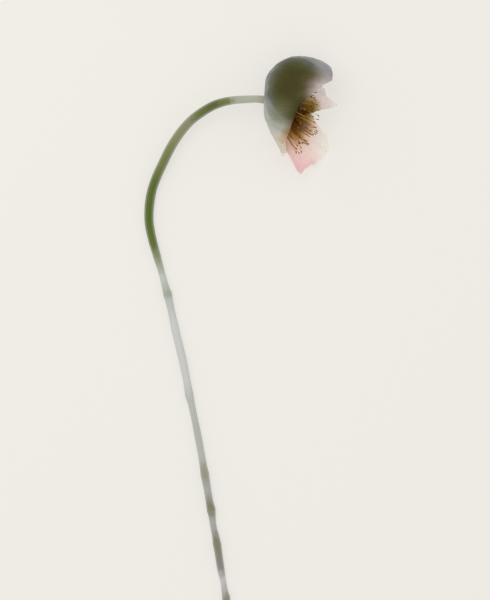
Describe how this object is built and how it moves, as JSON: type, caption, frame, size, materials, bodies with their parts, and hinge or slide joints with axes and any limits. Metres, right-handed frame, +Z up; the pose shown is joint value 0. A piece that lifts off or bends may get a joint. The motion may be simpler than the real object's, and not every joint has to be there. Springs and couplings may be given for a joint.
{
  "type": "poppy flower head on a cut stem",
  "caption": "Fading, nodding poppy flower on a long bent cut stem, with four petals hooded over a ring of stamens and a young ribbed seed capsule; lies on a table.",
  "frame": {"origin": "middle of the underside of the whole, on the surface it lies on", "axes": "+Y runs from the cut end of the stem towards the head, +X is the side the flower opens to, +Z is up from the surface"},
  "size_m": [0.0968, 0.2802, 0.031],
  "materials": {
    "stem": "waxy green upper bend, paling to silver green below with darker nodes",
    "receptacle": "matt dull green",
    "seed_capsule": "matt ribbed olive green with a faint bloom",
    "stigma_disc": "velvety dark brown rays",
    "hood_petal": "crinkled, olive brown with a lilac grey rim",
    "lower_petal": "crinkled silver grey olive, paler to its edge",
    "pink_petal": "crinkled translucent pale pink, orange brown at its base",
    "back_petal": "crinkled lilac grey, paling to a cream tip",
    "stamen": "dark filament with an ochre anther"
  },
  "bodies": {
    "root": {"stem": "stem", "receptacle": "receptacle", "seed_capsule": "seed_capsule", "stigma_disc": "stigma_disc", "hood_petal": "hood_petal", "lower_petal": "lower_petal", "pink_petal": "pink_petal", "back_petal": "back_petal", "stamen_01": "stamen", "stamen_02": "stamen", "stamen_03": "stamen", "stamen_04": "stamen", "stamen_05": "stamen", "stamen_06": "stamen", "stamen_07": "stamen", "stamen_08": "stamen", "stamen_09": "stamen", "stamen_10": "stamen", "stamen_11": "stamen", "stamen_12": "stamen", "stamen_13": "stamen", "stamen_14": "stamen", "stamen_15": "stamen", "stamen_16": "stamen", "stamen_17": "stamen", "stamen_18": "stamen", "stamen_19": "stamen", "stamen_20": "stamen", "stamen_21": "stamen", "stamen_22": "stamen", "stamen_23": "stamen", "stamen_24": "stamen", "stamen_25": "stamen", "stamen_26": "stamen", "stamen_27": "stamen", "stamen_28": "stamen", "stamen_29": "stamen", "stamen_30": "stamen", "stamen_31": "stamen", "stamen_32": "stamen", "stamen_33": "stamen", "stamen_34": "stamen", "stamen_35": "stamen", "stamen_36": "stamen", "stamen_37": "stamen", "stamen_38": "stamen", "stamen_39": "stamen", "stamen_40": "stamen", "stamen_41": "stamen", "stamen_42": "stamen", "stamen_43": "stamen", "stamen_44": "stamen", "stamen_45": "stamen", "stamen_46": "stamen", "stamen_47": "stamen", "stamen_48": "stamen", "stamen_49": "stamen", "stamen_50": "stamen"}
  },
  "joints": []
}
